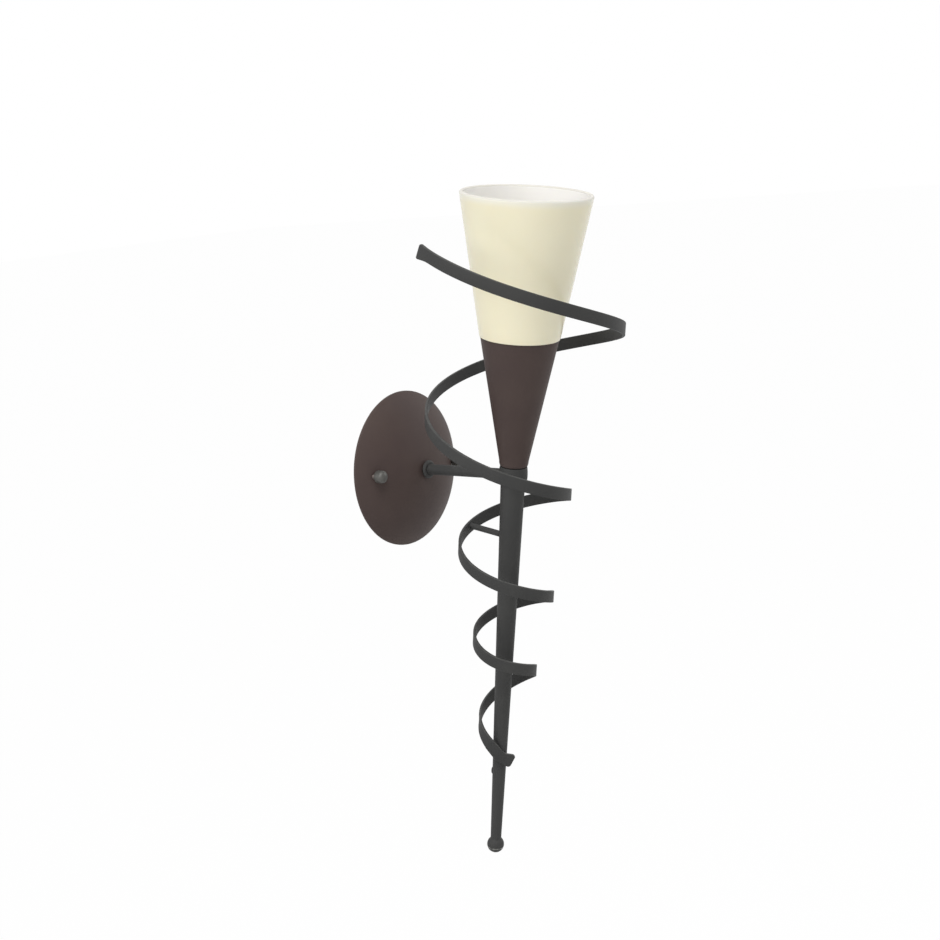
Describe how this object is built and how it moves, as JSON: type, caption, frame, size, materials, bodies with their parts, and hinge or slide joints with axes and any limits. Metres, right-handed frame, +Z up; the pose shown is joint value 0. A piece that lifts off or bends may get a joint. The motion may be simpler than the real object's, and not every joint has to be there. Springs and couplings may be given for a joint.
{
  "type": "torch wall sconce",
  "caption": "Torch-shaped wall light: a cone of cream glass in a metal cup on a tapered stem, with a spiral of flat band round it, on a short arm and a domed wall plate.",
  "frame": {"origin": "centre of the wall bracket's back face on the wall, which is also the centre of the round wall plate", "axes": "+Z up, +Y into the wall, so the light stands out towards -Y; +X to the right when facing the wall"},
  "size_m": [0.1586, 0.2009, 0.5209],
  "materials": {
    "brown_powder_coat": "matt brown powder coat",
    "graphite_powder_coat": "matt graphite powder coat",
    "grey_nut": "satin grey",
    "zinc_plate": "zinc plated",
    "brass": "plain",
    "bush_plastic": "moulded",
    "block_plastic": "moulded",
    "washer_fibre": "matt",
    "holder_ceramic": "glazed",
    "cream_glass": "cased opal glass, satin outside",
    "lamp_glass": "frosted",
    "nickel_cap": "satin",
    "black_glass": "gloss",
    "filament_glass": "clear",
    "wire_brown": "PVC",
    "wire_blue": "PVC",
    "wire_green_yellow": "PVC"
  },
  "bodies": {
    "fixture": {"wall_plate": "brown_powder_coat", "wall_bracket": "zinc_plate", "bracket_studs": "zinc_plate", "cap_nuts": "grey_nut", "arm_collar": "graphite_powder_coat", "arm_tube": "graphite_powder_coat", "arm_washer": "zinc_plate", "arm_lock_nut": "zinc_plate", "arm_bush": "bush_plastic", "hub": "graphite_powder_coat", "stem": "graphite_powder_coat", "ball_finial": "graphite_powder_coat", "spiral_band": "graphite_powder_coat", "band_support_pin": "graphite_powder_coat", "cup_washer": "washer_fibre", "cup": "brown_powder_coat", "nipple": "zinc_plate", "cup_nut": "zinc_plate", "lampholder_body": "holder_ceramic", "lampholder_shell": "brass", "lampholder_contact": "brass", "lampholder_terminals": "brass", "terminal_block": "block_plastic", "terminal_inserts": "brass", "terminal_screws": "zinc_plate", "block_screw": "zinc_plate", "earth_screw": "brass", "earth_tag": "brass", "live_wire": "wire_brown", "neutral_wire": "wire_blue", "earth_wire": "wire_green_yellow"},
    "shade": {"glass_shade": "cream_glass"},
    "lamp": {"bulb_glass": "lamp_glass", "bulb_cap": "nickel_cap", "bulb_insulator": "black_glass", "bulb_contact": "nickel_cap", "bulb_filament": "filament_glass"}
  },
  "joints": [
    {"name": "shade_lift", "type": "slide", "parent": "fixture", "child": "shade", "axis": [0, -0.1616, 0.9869], "range_m": [0, 0.1]},
    {"name": "lamp_lift", "type": "slide", "parent": "fixture", "child": "lamp", "axis": [0, -0.1616, 0.9869], "range_m": [0, 0.16]}
  ]
}
